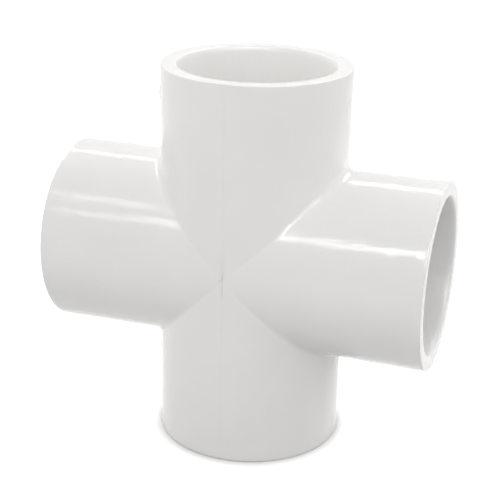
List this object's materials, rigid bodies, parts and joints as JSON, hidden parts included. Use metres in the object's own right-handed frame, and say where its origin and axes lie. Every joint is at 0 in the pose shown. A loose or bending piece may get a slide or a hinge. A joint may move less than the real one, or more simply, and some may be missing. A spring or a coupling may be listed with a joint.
{
  "type": "cross fitting",
  "caption": "Four-way equal cross pipe fitting in white PVC, joining pipes at right angles in one plane by solvent-weld sockets.",
  "frame": {"origin": "where the two bore axes cross, which is also the centre of the bounding box", "axes": "+Z along the upright run, +X along the level run, so the four mouths face +X, +Z, -X and -Z; -Y is the front, square to both runs"},
  "size_m": [0.084, 0.0408, 0.084],
  "materials": {
    "white_pvc": "glossy moulded white PVC"
  },
  "bodies": {
    "root": {"cross_body": "white_pvc"}
  },
  "joints": []
}
